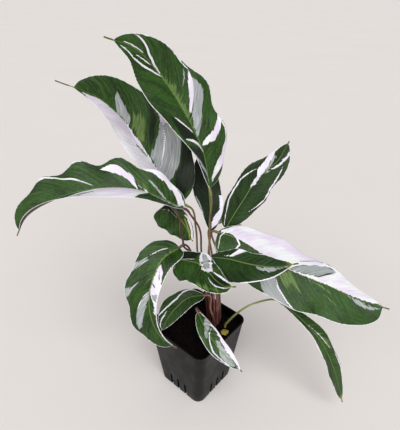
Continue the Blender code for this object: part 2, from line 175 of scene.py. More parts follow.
def leafMaterial(name, back=False):
    look = leafLook
    m = Finish(name)
    start, away, _ = m.parts(m.uvMap("veins"))
    whiteArea, milkArea, splashArea, yellowArea = m.painted("marks")
    inward, along, tint, duskArea = m.painted("edge")
    darkAndShadeArea, darkAndShadeShare, rimWidth, drip = m.painted("shade")
    half = m.timesPlus(m.calc("GREATER_THAN", away, 0.0), 4.0, m.times(tint, 60.0))  # each half has its own grain

    def streaks(kind, detail=2.0):
        across, lengthways = look[kind]
        return m.grain(m.place(m.times(start, across), m.times(away, lengthways), half), 1.0, detail)

    broad, fine, thread, cloud = (streaks(kind) for kind in ("broad", "fine", "thread", "cloud"))
    mottle = streaks("mottle", 3.0)
    broadSway, fineSway = (m.calc("SUBTRACT", noisy, 0.5) for noisy in (broad, fine))
    wander = m.timesPlus(broadSway, look["feather"], m.times(fineSway, look["fineFeather"]))

    def mark(area, loose, soft):
        # Share of a mark whose edge wanders this loosely and fades over this many mm to each side.
        deep = m.times(m.calc("SUBTRACT", area, 0.5), markSpan)
        return m.step(m.timesPlus(wander, loose, deep), -soft, soft)

    lines = m.step(fine, 0.35, 0.75)
    green = m.layered(
        look["deep"],
        (m.step(m.timesPlus(cloud, 0.6, m.times(broad, 0.4)), 0.34, 0.68), look["mid"]),
        # Pale vein streaks and flecks: lighter green of the leaf, partly painted highlight standing in for its satin
        # sheen.
        (m.times(lines, 0.3), look["pale"]),
        (m.step(mottle, 0.5, 0.75, 0.0, 0.35), look["pale"]),
        (m.step(mottle, 0.5, 0.3, 0.0, 0.4), look["deep"]),
        # Darkest green over whole leaves and marked sectors: partly their own dark tone, partly painted shade.
        (m.calc("MAXIMUM", darkAndShadeShare, m.times(mark(darkAndShadeArea, 0.8, 1.2), 0.85)), look["darkAndShade"]),
    )
    splash = m.layered(look["splash"], (m.step(fine, 0.35, 0.65, 0.0, 0.7), look["pale"]))
    milk = m.layered(look["milkDark"], (m.step(fine, 0.35, 0.65), look["milk"]),
                     (m.step(thread, 0.55, 0.75, 0.0, 0.4), look["white"]))
    white = m.layered(look["white"], (m.step(cloud, 0.35, 0.65), look["lilac"]),
                      (m.step(thread, 0.55, 0.8, 0.0, 0.3), look["milk"]))
    fingers = m.times(mark(splashArea, 2.2, 1.5), m.step(thread, 0.35, 0.65, 0.2, 0.85))
    whiteShare = mark(whiteArea, 0.7, 0.25)
    edge = m.timesPlus(inward, markSpan, m.times(rimWidth, -2.0))
    rim = m.step(m.timesPlus(broadSway, 1.6, edge), -0.25, 0.25, 1.0, 0.0)
    rim = m.times(rim, m.step(along, 0.93, 0.97, 1.0, 0.0))
    offRib = m.calc("ABSOLUTE", away)
    rib = m.times(m.step(offRib, 0.35, 0.7, 0.75, 0.0), m.step(whiteShare, 0.3, 0.9, 1.0, 0.25))
    rib = m.times(rib, m.step(along, 0.5, 1.0, 1.0, 0.45))
    tip = m.step(m.timesPlus(drip, 0.75, along), 0.995, 1.01)
    colour = m.layered(
        green, (fingers, splash), (mark(milkArea, 0.9, 0.3), milk), (whiteShare, white),
        (mark(yellowArea, 0.8, 3.0), look["yellow"]), (mark(duskArea, 0.3, 0.3), look["dusk"]),
        (rim, look["white"]), (rib, look["rib"]), (tip, look["brown"]),
    )
    if back:
        shade = m.layered(
            look["backDeep"], (m.calc("MAXIMUM", whiteShare, rim), look["backPale"]),
            (m.times(lines, 0.2), look["backRib"]), (m.step(offRib, 0.8, 1.5, 0.8, 0.0), look["backRib"]),
        )
        colour = m.layered(shade, (0.12, colour))
    gloss = look["roughness"] + (look["backRougher"] if back else 0)
    m.relief(m.timesPlus(fine, 0.8, m.times(thread, 0.4)), 0.6, 0.0004)
    return m.finish(colour, m.step(fine, 0.2, 0.8, gloss - 0.05, gloss + 0.08), look["specular"])


# Leaf shape, as the part gives it

def vectors(rows, scale=1.0):
    return [Vector(row) * scale for row in rows]


def smoothPath(points):
    # Close points of a smooth curve through the given ones.
    ticks = 20
    gaps = [(b - a).length for a, b in zip(points, points[1:])]
    slopes = [(b - a) / gap for a, b, gap in zip(points, points[1:], gaps)]
    turns = [(m * after + n * before) / (before + after)
             for m, n, before, after in zip(slopes, slopes[1:], gaps, gaps[1:])]
    turns = [slopes[0], *turns, slopes[-1]]
    dense = []
    for i, gap in enumerate(gaps):
        for tick in range(ticks):
            t = tick / ticks
            leave = (t ** 3 - 2 * t ** 2 + t) * gap
            arrive = (t ** 3 - t ** 2) * gap
            straight = points[i].lerp(points[i + 1], 3 * t ** 2 - 2 * t ** 3)
            dense.append(straight + turns[i] * leave + turns[i + 1] * arrive)
    return dense + [points[-1].copy()]


def pathLength(dense):
    return sum((b - a).length for a, b in zip(dense, dense[1:]))


def alongPath(dense, shares):
    # Place and direction at each share of the curve's length.
    lengths = [0]
    for a, b in zip(dense, dense[1:]):
        lengths.append(lengths[-1] + (b - a).length)
    found = []
    for share in shares:
        want = share * lengths[-1]
        i = min(max(sum(length < want for length in lengths), 1), len(dense) - 1)
        part = (want - lengths[i - 1]) / (lengths[i] - lengths[i - 1])
        before = dense[max(i - 3, 0)]
        after = dense[min(i + 2, len(dense) - 1)]
        found.append((dense[i - 1].lerp(dense[i], part), (after - before).normalized()))
    return found


bladeShape = dict(
    neck=1.4, drip=0.7,         # half widths of the blade's foot and of its tip, mm
    scallop=0.024,              # how far the waves push the margin in and out
    thickness=0.4,              # mm
    groove=0.45, keel=1.5,      # depth of the midrib's groove above, and how proud it stands below, mm
    grooveHalf=0.9, keelHalf=1.1,   # half widths of the two, mm
    ridge=0.16, ridgePitch=6.5, # height and spacing of the side veins, mm
    endPack=0.4, ribPack=1.35,  # how much closer the cells lie at the ends and at the midrib
)


def halfWidth(leaf, share, side):
    blade = 1 - leaf["drip"]
    along = min(share / blade, 1)
    skew = math.log(0.5) / math.log(leaf["belly"][side])
    belly = max(math.sin(math.pi * along ** skew), 0) ** (1 - leaf["full"][side])
    neck = bladeShape["neck"] + (bladeShape["drip"] - bladeShape["neck"]) * share
    return neck + (leaf["wide"][side] - neck) * belly


def faceAt(leaf, share):
    looks = vectors(leaf["face"])
    at = share * (len(looks) - 1)
    i = min(int(at), len(looks) - 2)
    return looks[i].lerp(looks[i + 1], at - i)


def veinStart(share, length, away, width):
    # How far along the rib, in mm, the side vein through this point leaves it.
    lean = (0.55 + 0.95 * share) * (0.75 + 0.45 * min(abs(away) / width, 1))
    return share * length - abs(away) * lean


def alongEdge(a, b, x, y):
    # Share of the edge at which it passes nearest to each point, and how near.
    (ax, ay), (bx, by) = a, b
    ex, ey = bx - ax, by - ay
    t = numpy.clip(((x - ax) * ex + (y - ay) * ey) / (ex * ex + ey * ey + 1e-9), 0, 1)
    return t, numpy.hypot(x - ax - t * ex, y - ay - t * ey)


def insideBy(outline, x, y):
    # How far each point lies inside a closed outline; outside it is negative.
    near = numpy.full(x.shape, 1e9)
    inside = numpy.zeros(x.shape, bool)
    for (ax, ay), (bx, by) in zip(outline, outline[1:] + outline[:1]):
        near = numpy.minimum(near, alongEdge((ax, ay), (bx, by), x, y)[1])
        rise = by - ay
        inside ^= ((ay > y) != (by > y)) & (x < (bx - ax) * (y - ay) / (rise + (rise == 0) * 1e-9) + ax)
    return numpy.where(inside, near, -near)


def nearLine(line, reach, x, y):
    # How far each point lies inside a stroke along a line, this wide to each side and pointed at its ends.
    inside = numpy.full(x.shape, -1e9)
    for i, (a, b) in enumerate(zip(line, line[1:])):
        t, far = alongEdge(a, b, x, y)
        taper = 0.25 + 0.75 * numpy.sin(numpy.pi * (i + t) / (len(line) - 1)) ** 0.6
        inside = numpy.maximum(inside, reach * taper - far)
    return inside


markKinds = ("white", "milk", "light", "yellow", "dusk", "darkAndShade")
markSteps = 6    # pieces that each edge of a mark is split into
strokeEdge = 3   # how much sharper a stroke's edge is than an area's


def paintMarks(leaf, length, x, y):
    # How far each point lies in each kind of mark; a later mark clears the earlier ones.
    fields = {kind: numpy.full(x.shape, -markSpan / 2) for kind in markKinds}
    for kind, reach, *percents in leaf["marks"]:
        points = [(s / 100, v / 100) for s, v in percents]
        ends = zip(points, points[1:] if reach else points[1:] + points[:1])
        steps = [[p + (q - p) * i / markSteps for p, q in zip(a, b)] for a, b in ends for i in range(markSteps)]
        steps += points[-1:] if reach else []
        flat = [(s * length, v * halfWidth(leaf, min(max(s, 0), 1), 0 if v < 0 else 1)) for s, v in steps]
        depth = nearLine(flat, reach, x, y) * strokeEdge if reach else insideBy(flat, x, y)
        for other in markKinds:
            if other == kind:
                fields[other] = numpy.maximum(fields[other], depth)
            else:
                fields[other] = numpy.minimum(fields[other], -depth)
    return {kind: numpy.clip(field / markSpan + 0.5, 0, 1) for kind, field in fields.items()}


leafSkins = [leafMaterial("leaf_upper"), leafMaterial("leaf_under", back=True)]


def finishPiece(name, bm, materials, replaced, turn=plantTurn):
    # Makes the mesh a finished piece that rides on the root.
    bmesh.ops.rotate(bm, verts=bm.verts, cent=(0, 0, 0), matrix=Matrix.Rotation(turn, 3, "Z"))
    bmesh.ops.recalc_face_normals(bm, faces=bm.faces)
    mesh = meshOf(name, bm)
    mesh.shade_smooth()
    for material in materials:
        mesh.materials.append(material)
    piece = addObject(name, mesh)
    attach(piece, "root")
    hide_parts(*replaced)
    return piece


def gridSheet(cells):
    # A flat sheet from -1 to 1 each way, and the places of its rows.
    bm = bmesh.new()
    bmesh.ops.create_grid(bm, x_segments=cells[0], y_segments=cells[1], size=1)
    return bm, sorted({round(v.co.x, 5) for v in bm.verts})


def mapOut(bm, name, first, second):
    # Keeps two vertex layers as a UV map, one to each direction.
    layer = bm.loops.layers.uv.new(name)
    for face in bm.faces:
        for loop in face.loops:
            loop[layer].uv = (loop.vert[first], loop.vert[second])


def spotKey(vert):
    return tuple(round(c, 7) for c in vert.co)


def makeBlade(name, leaf, skins=leafSkins, node=None):
    # A thin closed blade with a grooved, keeled midrib and raised side veins.
    shape = bladeShape
    bm, stations = gridSheet(leaf["cells"])
    dense = smoothPath(vectors(leaf["rib"], mm))
    length = pathLength(dense) / mm
    pack = shape["endPack"]
    shares = [(1 - pack) * (x + 1) / 2 + pack * (1 + math.sin(x * math.pi / 2)) / 2 for x in stations]
    rows = {}
    for x, share, (spot, ahead) in zip(stations, shares, alongPath(dense, shares)):
        right = ahead.cross(faceAt(leaf, share)).normalized()
        swell = math.sin(math.pi * min(share / (1 - leaf["drip"]), 1))
        waves = [height * swell * math.sin(2 * math.pi * (count * share + start))
                 for height, count, start in leaf["waves"]]
        rows[x] = (share, spot, right, right.cross(ahead), [halfWidth(leaf, share, i) for i in (0, 1)], waves)
    startLayer = bm.verts.layers.float.new("start")
    awayLayer = bm.verts.layers.float.new("away")
    marks, edge, shade = (bm.verts.layers.float_color.new(layer) for layer in ("marks", "edge", "shade"))
    folds = [math.radians(angle) for angle in leaf["fold"]]
    ups, flat, inward = [], [], []
    for vert in bm.verts:
        share, spot, right, up, widths, waves = rows[round(vert.co.x, 5)]
        across = math.copysign(abs(vert.co.y) ** shape["ribPack"], -vert.co.y)
        side = 0 if across < 0 else 1
        width = widths[side]
        away = width * across
        start = veinStart(share, length, away, width)
        push = width * (1 + shape["scallop"] * waves[side])
        rise = push * abs(across) * math.sin(folds[side]) - leaf["arch"][side] * push * across ** 2
        rise += waves[side] * across ** 2
        body = min(abs(away) / 4, 1) * min((1 - abs(across)) * 5, 1)  # no side veins on the midrib or at the margin
        rise += shape["ridge"] * body * math.cos(2 * math.pi * start / shape["ridgePitch"])
        rise -= shape["groove"] * (1 - 0.6 * share) * math.exp(-(away / shape["grooveHalf"]) ** 2)
        vert.co = spot + right * push * across * math.cos(folds[side]) * mm + up * rise * mm
        vert[startLayer], vert[awayLayer] = start, away
        ups.append((up, share, away))
        flat.append((share * length, away))
        inward.append(min(width * (1 - abs(across)) / markSpan, 1))
    x, y = numpy.array(flat).T
    depths = paintMarks(leaf, length, x, y)
    for i, vert in enumerate(bm.verts):
        vert[marks] = [depths[kind][i] for kind in markKinds[:4]]
        vert[edge] = (inward[i], ups[i][1], leaf["tint"], depths["dusk"][i])
        vert[shade] = (depths["darkAndShade"][i], leaf["darkAndShadeShare"], leaf["rim"] / 2, leaf["drip"])
    thick = shape["thickness"] * mm
    topVerts = list(bm.verts)
    under = bmesh.ops.extrude_face_region(bm, geom=bm.faces[:], use_keep_orig=True)["geom"]
    for face in only(under, bmesh.types.BMFace):
        face.material_index = 1
    twins = {spotKey(vert): row for vert, row in zip(topVerts, ups)}
    for vert in only(under, bmesh.types.BMVert):
        up, share, away = twins[spotKey(vert)]
        keel = shape["keel"] * (1 - 0.85 * min(share * 1.3, 1)) * math.exp(-(away / shape["keelHalf"]) ** 2)
        vert.co -= up * (thick / 2 + keel * mm)
    for vert, (up, _, _) in zip(topVerts, ups):
        vert.co += up * thick / 2
    mapOut(bm, "veins", startLayer, awayLayer)
    finishPiece(name + "_leaf", bm, skins, [node or name + "_blade"])


# Stalks

stalkLook = dict(
    olive=(srgb(112, 100, 62), srgb(124, 128, 74), srgb(70, 42, 36)),      # shaft, joint, foot
    maroon=(srgb(86, 52, 48), srgb(92, 62, 56), srgb(64, 36, 34)),
    rosy=(srgb(138, 96, 88), srgb(120, 92, 74), srgb(84, 50, 46)),
    green=(srgb(126, 138, 78), srgb(136, 148, 90), srgb(120, 112, 60)),
    darkStreakAndShade=0.35, lightStreakAndHighlight=2.1, lightest=0.8,     # the streaks beside the shaft's colour, and their limit: the stalk's own stripes, partly painted shade and painted highlight
    roughness=0.5,
)
stalkShape = dict(
    root=1.5, sheath=1.7, shaft=1.1, joint=1.55,                    # half widths from the foot up, mm
    foot=12, sheathTop=45, jointLength=12, neckReach=5, overlap=2.5,    # lengths, mm
    crown=(22.5, 9, 0), soilTop=88, clearance=0.3, collar=3, bundleTop=(18.5, 7, 150), spread=1.25, pitch=4.4,
    cells=(120, 16),
)


def stalkMaterial(tone):
    shaft, joint, foot = stalkLook[tone]
    m = Finish("stalk_" + tone)
    run, turn, _ = m.parts(m.uvMap("run"))
    footShare, jointShare, tint, _ = m.painted("zone")
    angle = m.times(turn, 2 * math.pi)
    height = m.timesPlus(run, 0.02, m.times(tint, 30.0))
    streaks = m.grain(m.place(m.calc("COSINE", angle), m.calc("SINE", angle), height), 2.2, 3.0, 0.6)
    blotch = m.grain(m.place(m.times(run, 0.07), turn, tint), 1.0)
    colour = m.layered(
        shaft, (m.step(footShare, 0.0, 1.0), foot), (m.step(jointShare, 0.2, 0.8), joint),
        # Dark and light streaks: the stalk's own stripes, partly painted shade between the bundled stalks and painted
        # highlight on them.
        (m.step(streaks, 0.5, 0.62, 0.0, 0.85), scaled(shaft, stalkLook["darkStreakAndShade"])),
        (m.step(streaks, 0.47, 0.36, 0.0, 0.8), scaled(shaft, stalkLook["lightStreakAndHighlight"], stalkLook["lightest"])),
        (m.step(blotch, 0.5, 0.75, 0.0, 0.5), foot),
    )
    m.relief(streaks, 0.5, 0.0003)
    return m.finish(colour, stalkLook["roughness"])


stalkSkins = {tone: stalkMaterial(tone) for tone in ("olive", "maroon", "rosy", "green")}


def stalkPath(leaf):
    shape = stalkShape
    across, back = leaf["root"]
    offset = Vector((across + back / 2, back * math.sqrt(0.75), 0)) * shape["pitch"]
    root = Vector(shape["crown"]) + offset
    bundle = [Vector(shape["bundleTop"]) + offset * shape["spread"]] if leaf["bundled"] else []
    base, ahead = alongPath(smoothPath(vectors(leaf["rib"])), (0,))[0]
    foot = root + Vector((0, 0, shape["soilTop"] - shape["foot"] + shape["clearance"]))
    grip = root + Vector((0, 0, shape["soilTop"] - shape["collar"]))
    collar = root + Vector((0, 0, shape["soilTop"] + shape["collar"]))
    neck = base - ahead * shape["neckReach"]
    face = faceAt(leaf, 0)
    up = (face - ahead * face.dot(ahead)).normalized()
    top = base + ahead * shape["overlap"] - up * 0.9
    return smoothPath([foot, grip, collar, *bundle, *vectors(leaf["stalk"]), neck, top])


def makeStalk(name, leaf):
    # A round stalk with a sheathed foot and a thicker joint under the blade.
    shape = stalkShape
    bm, stations = gridSheet(shape["cells"])
    dense = stalkPath(leaf)
    length = pathLength(dense)
    shares = [(x + 1) / 2 for x in stations]
    rows = {x: (share, *row) for x, share, row in zip(stations, shares, alongPath(dense, shares))}
    zone = bm.verts.layers.float_color.new("zone")
    runLayer = bm.verts.layers.float.new("run")
    turnLayer = bm.verts.layers.float.new("turn")
    tint = leaf["tint"]
    for vert in bm.verts:
        share, spot, ahead = rows[round(vert.co.x, 5)]
        run = share * length
        turn = (vert.co.y + 1) / 2
        left = length - run
        sheathed = 1 - min(max(run - shape["foot"], 0) / shape["sheathTop"], 1)
        jointed = math.sin(math.pi * min(left / shape["jointLength"], 1)) ** 0.5 if left < shape["jointLength"] else 0
        radius = shape["shaft"] + (shape["sheath"] - shape["shaft"]) * sheathed
        radius = shape["root"] if run < shape["foot"] else radius
        radius = max(radius, shape["shaft"] + (shape["joint"] - shape["shaft"]) * jointed)
        radius *= 1 + 0.05 * noise.noise(Vector((run * 0.12, tint * 40, 0)))
        side = ahead.cross(Vector((0.15, -1, 0.1))).normalized()
        angle = 2 * math.pi * turn
        groove = 1 - 0.12 * max(math.cos(angle), 0) ** 6 * (1 - jointed)  # the shallow channel on the stalk's face
        vert.co = (spot + (side * math.sin(angle) + ahead.cross(side) * math.cos(angle)) * radius * groove) * mm
        vert[zone] = (sheathed, 1 if left < shape["jointLength"] else 0, tint, 1)
        vert[runLayer], vert[turnLayer] = run, turn
    mapOut(bm, "run", runLayer, turnLayer)
    bmesh.ops.remove_doubles(bm, verts=bm.verts, dist=1e-6)
    bmesh.ops.holes_fill(bm, edges=[e for e in bm.edges if e.is_boundary], sides=0)
    finishPiece(name + "_stem", bm, [stalkSkins[leaf["tone"]]], [name + "_stalk"])


def makeLeaf(name, leaf):
    makeBlade(name, leaf)
    makeStalk(name, leaf)
    print("leaf", name)


# Leaves, in millimetres as the camera sees them: x to the right, y to the back, z up.
# rib: points of the midrib; face: where the upper face looks; wide, belly, full: the outline of each half
# drip: share of the rib in the tip; fold, arch, waves: how each half rises, turns down and ripples
# root, bundled, stalk: place in the crown, whether it rises with the rest, and points on the way to the blade
# tint: seed of the grain; dim: share of darkest green, partly the leaf's own tone and partly painted shade; rim: mm
# of white margin; tone: colour of the stalk
# marks: kind, half width of a stroke in mm or 0 for an area, then points in percent of the rib and of the half's
# width. milk is grey-white, light pale green, dusk purple, night darkest green and partly painted shade, and green
# clears the marks under it.

usualLeaf = dict(
    full=(0.3, 0.3), drip=0.05, fold=(15, 15), arch=(0.1, 0.1), bundled=True, tint=0.5, darkAndShadeShare=0, rim=0.4,
    tone="rosy", cells=(230, 60),
)
smallLeaf = dict(usualLeaf, cells=(150, 44))

topLeaf = dict(usualLeaf,
    rib=((11, 6, 284), (3, 12, 322), (-10, 18, 349), (-39, 22, 393), (-56, 14, 413), (-80, 2, 424)),
    face=((0.75, -0.6, 0.25), (0.7, -0.65, 0.3), (0.55, -0.75, 0.4), (0.2, -0.85, 0.5), (-0.1, -0.8, 0.5)),
    wide=(32, 33), belly=(0.58, 0.42), fold=(24, 22), waves=((2, 3, 0.6), (2.5, 4, 0.2)),
    root=(0, 0), stalk=((13, 5, 198), (12, 6, 239)), tint=0.1, rim=0.45, tone="olive",
    marks=(
        ("light", 0, (68, 0), (62, 7), (57, 16), (50, 8), (44, 13), (36, 5), (43, -5), (56, -3)),
        ("darkAndShade", 0, (47, -70), (42, -55), (33, -20), (28, -15), (32, -90)),
        ("darkAndShade", 0, (28, -90), (24, -20), (18, -10), (5, -10), (10, -110), (25, -110)),
        ("white", 1, (65, 0), (71, -17), (77, -36), (85, -55), (92, -40)),
        ("white", 0.6, (73, -5), (78, -14), (84, -28)),
        ("white", 0.5, (80, 8), (85, 10), (91, 18)),
        ("white", 1, (67, 2), (73, 8), (78, 23), (83, 60), (87, 95)),
        ("milk", 0.6, (62, 83), (58, 55), (55, 30)),
        ("white", 0.8, (76, 98), (68, 96), (60, 90)),
        ("milk", 0, (57, 75), (51, 80), (45, 72), (38, 45), (32, 15), (29, -2), (36, 6), (42, 20), (48, 42)),
        ("white", 0, (60, 88), (57, 76), (48, 42), (42, 20), (41, 10), (44, 17), (50, 33), (56, 57)),
        ("white", 0, (36, 110), (33, 85), (29, 55), (26, 10), (24, 5), (24, 50), (27, 73), (30, 90), (33, 110)),
        ("white", 0.8, (33, 97), (27, 97), (20, 95)),
        ("white", 0, (21, 90), (16, 80), (14, 60), (10, 42), (5, 25), (3, 35), (7, 70), (12, 110), (21, 110)),
        ("white", 1, (45, -60), (41, -47), (37, -32), (33, -17)),
        ("white", 1.5, (32, -80), (29, -45), (26, -20), (21, 0)),
        ("milk", 1.5, (25, -100), (20, -90), (14, -65), (8, -20), (3, 0)),
    ),
)
makeLeaf("top", topLeaf)

upperLeftLeaf = dict(usualLeaf,
    rib=((-17, 16, 261), (-31, 24, 273), (-49, 34, 295), (-68, 42, 320), (-81, 46, 343), (-99, 44, 361),
         (-137, 30, 382)),
    face=((0.2, -0.9, 0.4), (0.1, -0.9, 0.4), (0, -0.8, 0.6)),
    wide=(21, 46), belly=(0.57, 0.37), full=(0.3, 0.42), drip=0.1, fold=(48, 20),
    waves=((1.5, 3, 0.3), (2, 4, 0.1)),
    root=(-2, 1), stalk=((0, 12, 191), (-3, 14, 230), (-9, 15, 255)), tint=0.24, rim=0.3, tone="olive",
    marks=(
        ("white", 0, (3, -2), (28, 3), (43, 8), (53, 4), (64, -4), (76, -5), (86, -50), (80, -120), (3, -120)),
        ("milk", 0, (43, -10), (39, 3), (34, 2), (37, -8)),
        ("milk", 0, (71, 58), (67, 42), (62, 28), (56, 12), (55, 5), (64, -3), (69, 25)),
        ("light", 0, (58, 32), (57, 50), (51, 43), (42, 20), (44, 10), (53, 10)),
        ("darkAndShade", 0, (63, 95), (58, 87), (51, 73), (40, 48), (37, 20), (43, 36), (53, 60)),
        ("darkAndShade", 0, (48, 110), (38, 97), (30, 86), (19, 62), (13, 25), (2, 0), (3, 120)),
        ("milk", 0, (52, 80), (43, 70), (39, 45), (33, 7), (28, 3), (15, 3), (15, 25), (20, 62), (30, 85),
         (39, 96), (50, 110)),
        ("white", 0, (65, 110), (60, 98), (55, 85), (48, 78), (44, 90), (47, 110)),
        ("white", 0.65, (50, 90), (43, 80), (37, 65), (30, 36), (24, 10)),
        ("yellow", 0, (94, 110), (91, 30), (93, 0), (110, 0), (110, 120)),
    ),
)
makeLeaf("upperLeft", upperLeftLeaf)

leftLeaf = dict(usualLeaf,
    rib=((-16, 6, 259), (-35, 2, 272), (-62, -4, 286), (-101, -10, 289), (-140, -16, 280), (-173, -20, 259),
         (-184, -22, 240)),
    face=((-0.3, -0.5, 0.8), (0, -0.3, 1), (-0.3, -0.3, 0.9)),
    wide=(31, 29), belly=(0.5, 0.5), full=(0.1, 0.55), drip=0.04, fold=(36, 30), arch=(0.05, 0.05),
    waves=((5, 1.5, 0.18), (3, 5.5, 0.24)),
    root=(-1, 0), stalk=((4, 7, 200), (0, 6, 237), (-9, 6, 252)), tint=0.37, rim=0.5, tone="maroon",
    marks=(
        ("white", 1.1, (63, 100), (57, 100), (51, 97)),
        ("darkAndShade", 0, (68, 110), (66, 93), (72, 96), (76, 110)),
        ("white", 0.85, (48, 10), (54, 30), (60, 58), (66, 88), (74, 98), (84, 100)),
        ("white", 0, (46, 83), (41, 82), (36, 70), (30, 50), (28, 18), (27, 0), (31, 20), (35, 40), (40, 52),
         (43, 66)),
        ("light", 0, (28, 40), (26, 28), (21, 7), (19, 5), (24, -5), (27, 15)),
        ("white", 0, (31, 93), (25, 110), (10, 110), (4, 80), (0, 50), (3, -10), (6, 40), (10, 62), (14, 76),
         (19, 76), (24, 87), (28, 96)),
        ("milk", 0.9, (23, 50), (18, 30), (12, 5), (8, -30)),
        ("white", 0.4, (29, 23), (21, -2)),
        ("white", 0, (60, -95), (56, -38), (48, -2), (31, -5), (21, 3), (26, -50), (30, -110), (60, -110)),
        ("milk", 0, (58, -80), (53, -50), (48, -38), (50, -60), (54, -85)),
        ("white", 0.6, (21, -10), (12, -30), (3, -40)),
        ("white", 0.6, (74, -90), (80, -95), (88, -90)),
    ),
)
makeLeaf("left", leftLeaf)

uprightLeaf = dict(smallLeaf,
    rib=((13, 14, 226), (12.5, 27, 252), (8, 43, 280), (1, 55, 307)),
    face=((0.1, -1, 0.2), (0.1, -1, 0.3)),
    wide=(19, 15), belly=(0.61, 0.4), drip=0.06, fold=(20, 20), waves=((1.5, 3, 0), (1.5, 3, 0.4)),
    root=(-1, 1), stalk=((12, 12, 199),), tint=0.43, darkAndShadeShare=0.8, rim=0.3,
    marks=(
        ("white", 0, (3, 30), (10, 10), (18, 43), (27, 70), (41, 78), (42, 110), (20, 110), (8, 80)),
        ("milk", 0.8, (12, -100), (25, -90), (35, -85), (46, -92)),
    ),
)
makeLeaf("upright", uprightLeaf)

smallLeftLeaf = dict(smallLeaf,
    rib=((-33, 10, 263), (-25, 10, 251), (-14, 8, 235), (-6, 3, 219)),
    face=((0.1, -0.9, 0.3), (0.1, -0.9, 0.3)),
    wide=(9, 23), belly=(0.4, 0.2), full=(0.5, 0.6), fold=(10, 10), waves=((1, 3, 0), (1.5, 3, 0.4)),
    root=(-2, 0),
    stalk=((-1, 4, 198), (-16, 3, 212), (-16.5, -0.5, 222), (-19, -5, 240), (-19.5, -5, 253), (-23, -3, 261)),
    tint=0.51, darkAndShadeShare=0.2, rim=0.2, tone="maroon",
    marks=(
        ("dusk", 0, (-10, 110), (-10, -10), (12, -20), (30, -12), (31, 6), (12, 12), (2, 45)),
        ("milk", 0.45, (2, 50), (10, 20), (20, 13), (36, 10)),
        ("yellow", 1, (48, -50), (64, -30), (80, -10), (95, 30)),
        ("white", 1.3, (43, -75), (53, -88), (65, -72), (81, -62), (97, -20)),
    ),
)
makeLeaf("smallLeft", smallLeftLeaf)

upperRightLeaf = dict(usualLeaf,
    rib=((31, 20, 226), (39, 22, 242), (48, 24, 259), (62, 28, 284), (83, 32, 305), (93, 38, 323)),
    face=((-0.3, -0.9, 0.4), (-0.2, -0.9, 0.5), (0, -0.8, 0.6)),
    wide=(18, 21), belly=(0.42, 0.5), full=(0.4, 0.3), drip=0.03, waves=((1.5, 3, 0.5), (2, 3, 0.9)),
    root=(1, 1), stalk=((27, 20, 195),), tint=0.6, darkAndShadeShare=0.5, rim=0.35,
    marks=(
        ("milk", 0, (86, -110), (82, -38), (73, -10), (68, 10), (65, 0), (73, -45)),
        ("white", 0, (45, -3), (58, -14), (62, -47), (71, -65), (81, -110), (99, -110), (86, -85), (73, -30),
         (65, 0), (52, 10)),
        ("white", 0, (64, 7), (76, 18), (84, 30), (92, 80), (90, 95), (83, 50), (73, 17), (67, 13)),
        ("white", 0.7, (2, -52), (16, -68), (27, -80), (38, -86), (48, -83), (55, -65), (62, -50)),
        ("white", 0.7, (26, 72), (35, 86), (51, 92), (65, 90), (75, 70), (79, 62)),
    ),
)
makeLeaf("upperRight", upperRightLeaf)

rightLeaf = dict(usualLeaf,
    rib=((21.5, 5, 230), (40, -3, 229), (68, -14, 217), (93, -22, 205), (132, -34, 194), (168, -42, 180),
         (202, -48, 172)),
    face=((0.1, -0.5, 0.9), (0.2, -0.5, 0.9), (0.3, -0.5, 0.8)),
    wide=(31, 36), belly=(0.42, 0.47), full=(0.25, 0.7), drip=0.04, fold=(-4, -12),
    waves=((2, 3, 0.2), (2.5, 4, 0.1)),
    root=(1, 0), stalk=((22, 7, 200),), tint=0.68, rim=0.45,
    marks=(
        ("white", 0, (2, 0), (30, 2), (60, 1), (90, -10), (97, -60), (90, -120), (0, -120)),
        ("milk", 0, (43, -2), (50, -42), (56, -65), (64, -85), (69, -86), (65, -58), (59, -17), (50, -5)),
        ("milk", 0.6, (47, -50), (56, -90), (66, -97)),
        ("milk", 0, (33, 72), (38, 33), (42, 65), (48, 90), (55, 110), (41, 110), (35, 90)),
        ("white", 0.9, (38, 36), (42, 66), (48, 90), (54, 105)),
        ("light", 0, (40, 25), (44, 3), (48, 23), (52, 47), (47, 38), (46, 55), (43, 43)),
        ("light", 0.6, (55, 7), (62, 12), (68, 22)),
        ("light", 0.5, (64, 33), (73, 48)),
        ("milk", 0, (77, 2), (85, 4), (95, 20), (90, 33), (83, 20)),
        ("green", 0.5, (86, 10), (90, 17)),
        ("green", 0, (2, -20), (7, -17), (13, 15), (12, 60), (5, 90), (0, 90)),
        ("white", 0.8, (3, 90), (2, 20), (4, -30), (8, -17), (14, 18), (12, 65), (6, 95)),
    ),
)
makeLeaf("right", rightLeaf)

frontRightLeaf = dict(usualLeaf,
    rib=((13, -12, 209), (31, -30, 221), (50, -44, 226), (73, -56, 232), (92, -66, 245)),
    face=((0, -0.6, 0.9), (0.1, -0.6, 0.9)),
    wide=(13, 26), belly=(0.5, 0.28), full=(0.3, 0.1), drip=0.06, fold=(12, 5),
    waves=((1.5, 3, 0.2), (2, 3, 0.6)),
    root=(1, -1), stalk=((10, -6, 190),), tint=0.77, darkAndShadeShare=0.45,
    marks=(
        ("white", 0, (21, -27), (29, -42), (33, -78), (38, -120), (48, -120), (42, -95), (36, -55), (30, -24)),
        ("milk", 0, (58, 7), (65, 10), (74, 0), (85, 15), (90, 30), (80, 36), (74, 45), (67, 33), (60, 20)),
        ("white", 0.7, (42, 99), (70, 98), (90, 90)),
        ("yellow", 0, (88, -110), (94, 0), (90, 100), (110, 100), (110, -110)),
    ),
)
makeLeaf("frontRight", frontRightLeaf)

